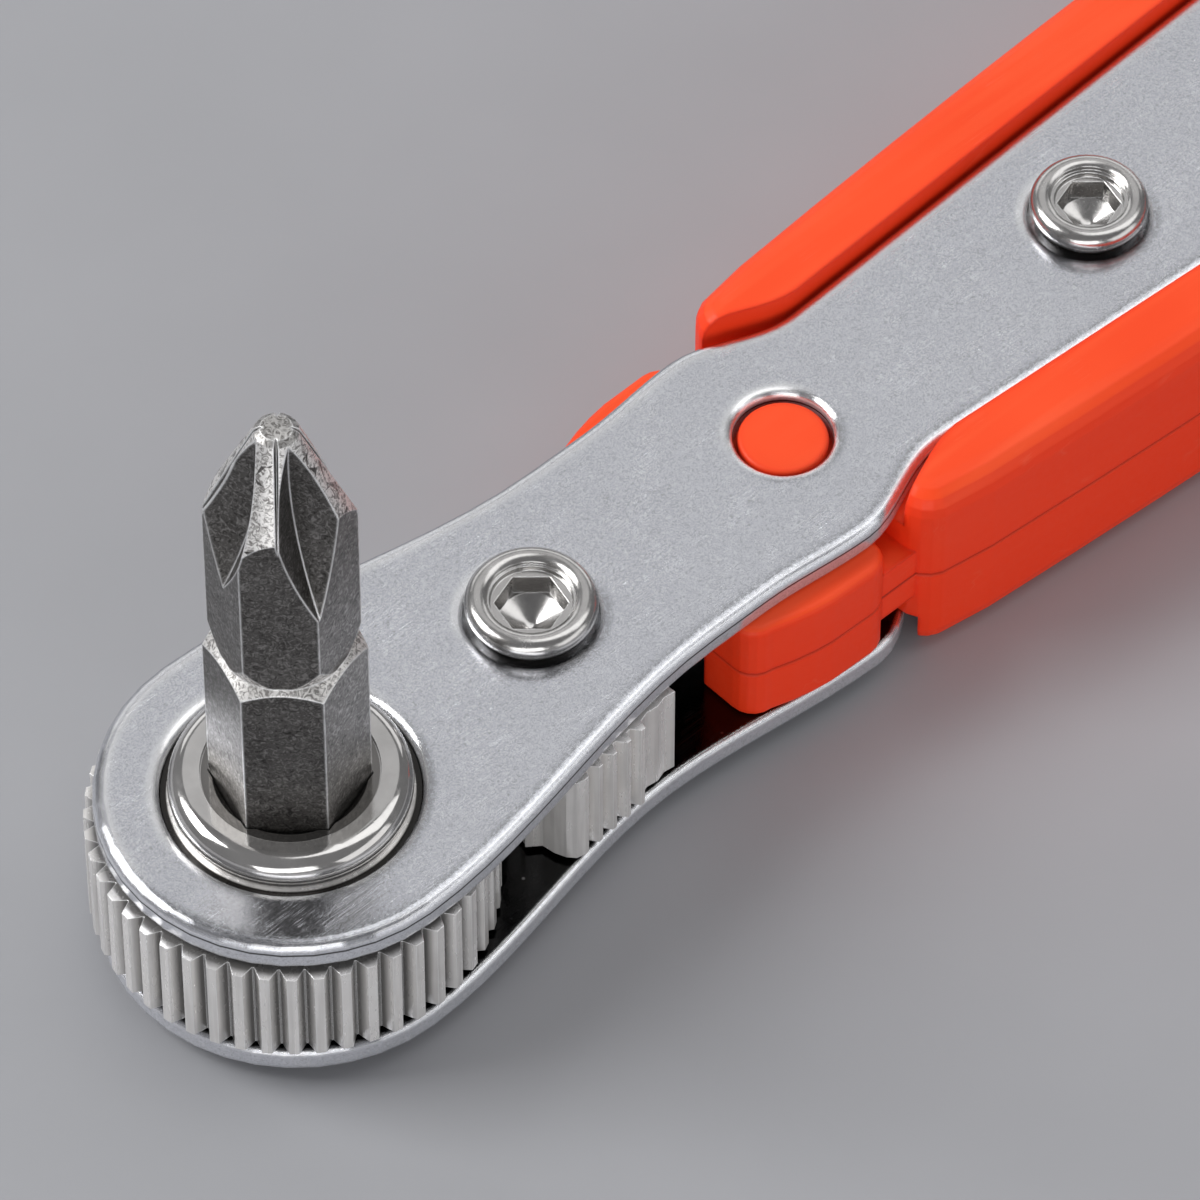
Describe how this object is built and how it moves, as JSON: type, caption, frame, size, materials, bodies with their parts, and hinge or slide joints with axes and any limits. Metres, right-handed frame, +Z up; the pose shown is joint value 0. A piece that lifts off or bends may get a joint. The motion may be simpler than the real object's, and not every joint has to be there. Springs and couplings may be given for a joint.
{
  "type": "ratcheting screwdriver",
  "caption": "Flat offset ratchet driver: two steel plates, a toothed wheel with a hex socket and a cross-point bit, a rocker pawl and a two-part plastic handle.",
  "frame": {"origin": "on the drive axis of the wheel, at the centre of the hub's lower face, in the plane that the tool rests on", "axes": "+Z up along the bit, +X along the handle to its tail, Y across the plates"},
  "size_m": [0.1057, 0.0212, 0.0361],
  "materials": {
    "plate_steel": "satin, fine grained, with polished edges",
    "wheel_nickel": "satin nickel",
    "spring_steel": "plain spring steel",
    "magnet_nickel": "plated magnet",
    "bit_steel": "dark, fine grained tool steel",
    "post_nickel": "bright nickel",
    "handle_plastic": "smooth moulded, semi gloss"
  },
  "bodies": {
    "frame": {"upper_plate": "plate_steel", "lower_plate": "plate_steel", "upper_thrust_washer": "spring_steel", "lower_thrust_washer": "spring_steel", "upper_pawl_washer": "spring_steel", "lower_pawl_washer": "spring_steel", "detent_spring": "spring_steel", "pivot_post": "post_nickel", "pivot_screw": "post_nickel", "rear_post": "post_nickel", "rear_screw": "post_nickel", "tail_post": "post_nickel", "tail_screw": "post_nickel", "handle_upper_shell": "handle_plastic", "handle_lower_shell": "handle_plastic"},
    "wheel": {"ratchet_wheel": "wheel_nickel", "socket_magnet": "magnet_nickel", "bit_retaining_ring": "spring_steel"},
    "bit": {"screwdriver_bit": "bit_steel"},
    "pawl": {"direction_pawl": "wheel_nickel"}
  },
  "joints": [
    {"name": "wheel_spin", "type": "hinge", "parent": "frame", "child": "wheel", "pos_m": [0, 0, 0], "axis": [0, 0, 1], "continuous": true},
    {"name": "bit_pull", "type": "slide", "parent": "wheel", "child": "bit", "axis": [0, 0, 1], "range_m": [0, 0.008], "deforming": ["bit_retaining_ring"]},
    {"name": "pawl_rock", "type": "hinge", "parent": "frame", "child": "pawl", "pos_m": [0.0145, 0, 0], "axis": [0, 0, 1], "range_deg": [-10, 0], "deforming": ["detent_spring"]}
  ]
}
